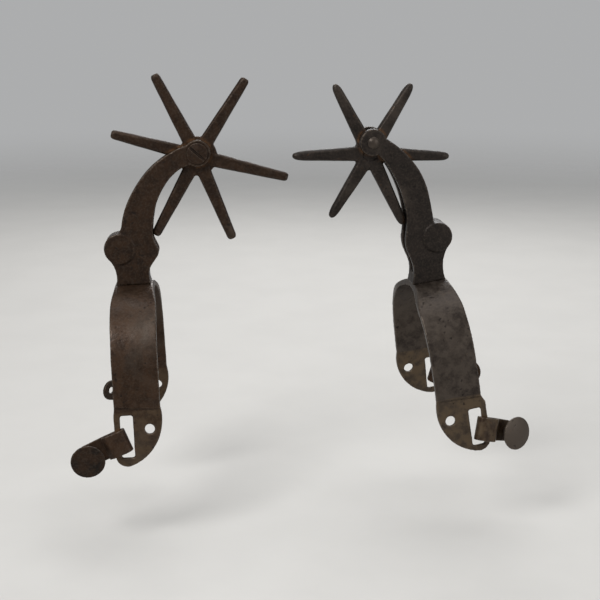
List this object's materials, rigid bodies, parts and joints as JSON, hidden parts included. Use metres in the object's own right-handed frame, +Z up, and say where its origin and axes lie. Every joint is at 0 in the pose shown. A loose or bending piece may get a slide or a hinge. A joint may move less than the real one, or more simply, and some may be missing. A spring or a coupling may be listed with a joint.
{
  "type": "pair of riding spurs",
  "caption": "Forged iron riding spurs: a U-shaped heel band, a curved forked shank with a round chap guard, a free-turning star rowel, and swinging hangers with strap buttons.",
  "frame": {"origin": "centre of the left spur's heel seat, the half-round inside of its band", "axes": "+X from the left spur to the right one, along the bar they hang over; +Y away from the viewer of the front; +Z up, from the heel bands to the rowels"},
  "size_m": [0.2558, 0.1247, 0.2146],
  "materials": {
    "left_band_iron": "worn forged iron with brown patina and light rust",
    "right_band_iron": "worn forged iron with brown patina and light rust",
    "left_shank_iron": "worn forged iron with brown patina and light rust",
    "right_shank_iron": "worn forged iron with brown patina and light rust",
    "left_rowel_iron": "worn forged iron with brown patina and light rust",
    "right_rowel_iron": "worn forged iron with brown patina and light rust",
    "pin_iron": "worn forged iron with brown patina and light rust",
    "hanger_iron": "worn forged iron with brown patina and light rust",
    "button_iron": "worn forged iron with brown patina and light rust"
  },
  "bodies": {
    "left_frame": {"left_heel_band": "left_band_iron", "left_shank": "left_shank_iron", "left_rowel_pin": "pin_iron"},
    "left_rowel": {"left_rowel": "left_rowel_iron"},
    "left_front_link": {"left_front_hanger": "hanger_iron", "left_front_button": "button_iron"},
    "left_rear_link": {"left_rear_hanger": "hanger_iron"},
    "right_frame": {"right_heel_band": "right_band_iron", "right_shank": "right_shank_iron", "right_rowel_pin": "pin_iron"},
    "right_rowel": {"right_rowel": "right_rowel_iron"},
    "right_front_link": {"right_front_hanger": "hanger_iron", "right_front_button": "button_iron"},
    "right_rear_link": {"right_rear_hanger": "hanger_iron", "right_rear_button": "button_iron"}
  },
  "joints": [
    {"name": "left_rowel_spin", "type": "hinge", "parent": "left_frame", "child": "left_rowel", "pos_m": [0.03516, 0.00546, 0.11479], "axis": [0.0581, -0.9979, 0.0296], "continuous": true},
    {"name": "left_front_hanger_swing", "type": "hinge", "parent": "left_frame", "child": "left_front_link", "pos_m": [-0.00733, -0.04698, -0.03653], "axis": [0.0459, -0.1315, -0.9903], "range_deg": [-70, 70]},
    {"name": "left_rear_hanger_swing", "type": "hinge", "parent": "left_frame", "child": "left_rear_link", "pos_m": [-0.01278, 0.04317, -0.03411], "axis": [-0.0338, -0.0771, 0.9964], "range_deg": [-118, 22]},
    {"name": "right_rowel_spin", "type": "hinge", "parent": "right_frame", "child": "right_rowel", "pos_m": [0.13193, -0.00499, 0.12261], "axis": [-0.1879, 0.9808, 0.0518], "continuous": true},
    {"name": "right_front_hanger_swing", "type": "hinge", "parent": "right_frame", "child": "right_front_link", "pos_m": [0.19699, -0.03031, -0.03415], "axis": [-0.1546, 0.0248, 0.9877], "range_deg": [-94, 46]},
    {"name": "right_rear_hanger_swing", "type": "hinge", "parent": "right_frame", "child": "right_rear_link", "pos_m": [0.17985, 0.05805, -0.02809], "axis": [0.1153, 0.1802, -0.9768], "range_deg": [-78, 62]},
    {"name": "right_spur_away", "type": "slide", "parent": "left_frame", "child": "right_frame", "axis": [1, 0, 0], "range_m": [0, 0.15]}
  ]
}
